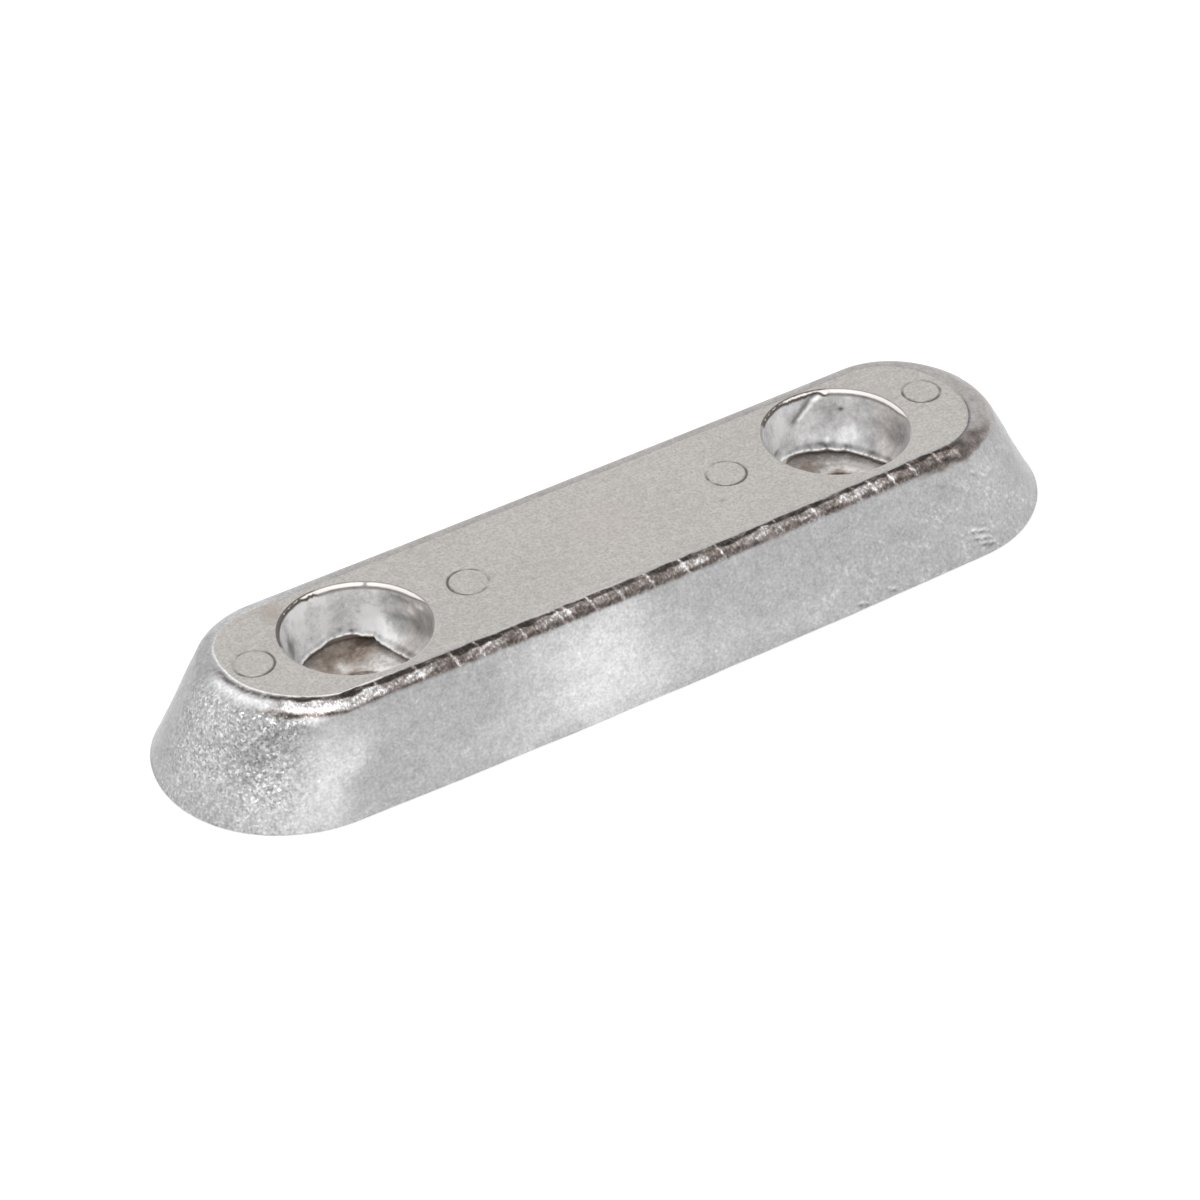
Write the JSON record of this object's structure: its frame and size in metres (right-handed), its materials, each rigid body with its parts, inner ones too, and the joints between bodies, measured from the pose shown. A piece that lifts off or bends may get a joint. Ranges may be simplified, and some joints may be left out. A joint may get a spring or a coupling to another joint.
{
  "type": "sacrificial anode",
  "caption": "Cast zinc hull anode: a tapered bar with full round ends, bolted through deep round pockets with steel seat plates.",
  "frame": {"origin": "centre of the flat back face, which lies against the hull", "axes": "+X along the bar, +Y across it, +Z out of the hull towards the face with the bolt pockets"},
  "size_m": [0.2568, 0.0708, 0.0288],
  "materials": {
    "cast_zinc": "as-cast satin zinc",
    "plate_steel": "stained steel"
  },
  "bodies": {
    "root": {"anode_body": "cast_zinc", "fixing_plate_left": "plate_steel", "fixing_plate_right": "plate_steel"}
  },
  "joints": []
}
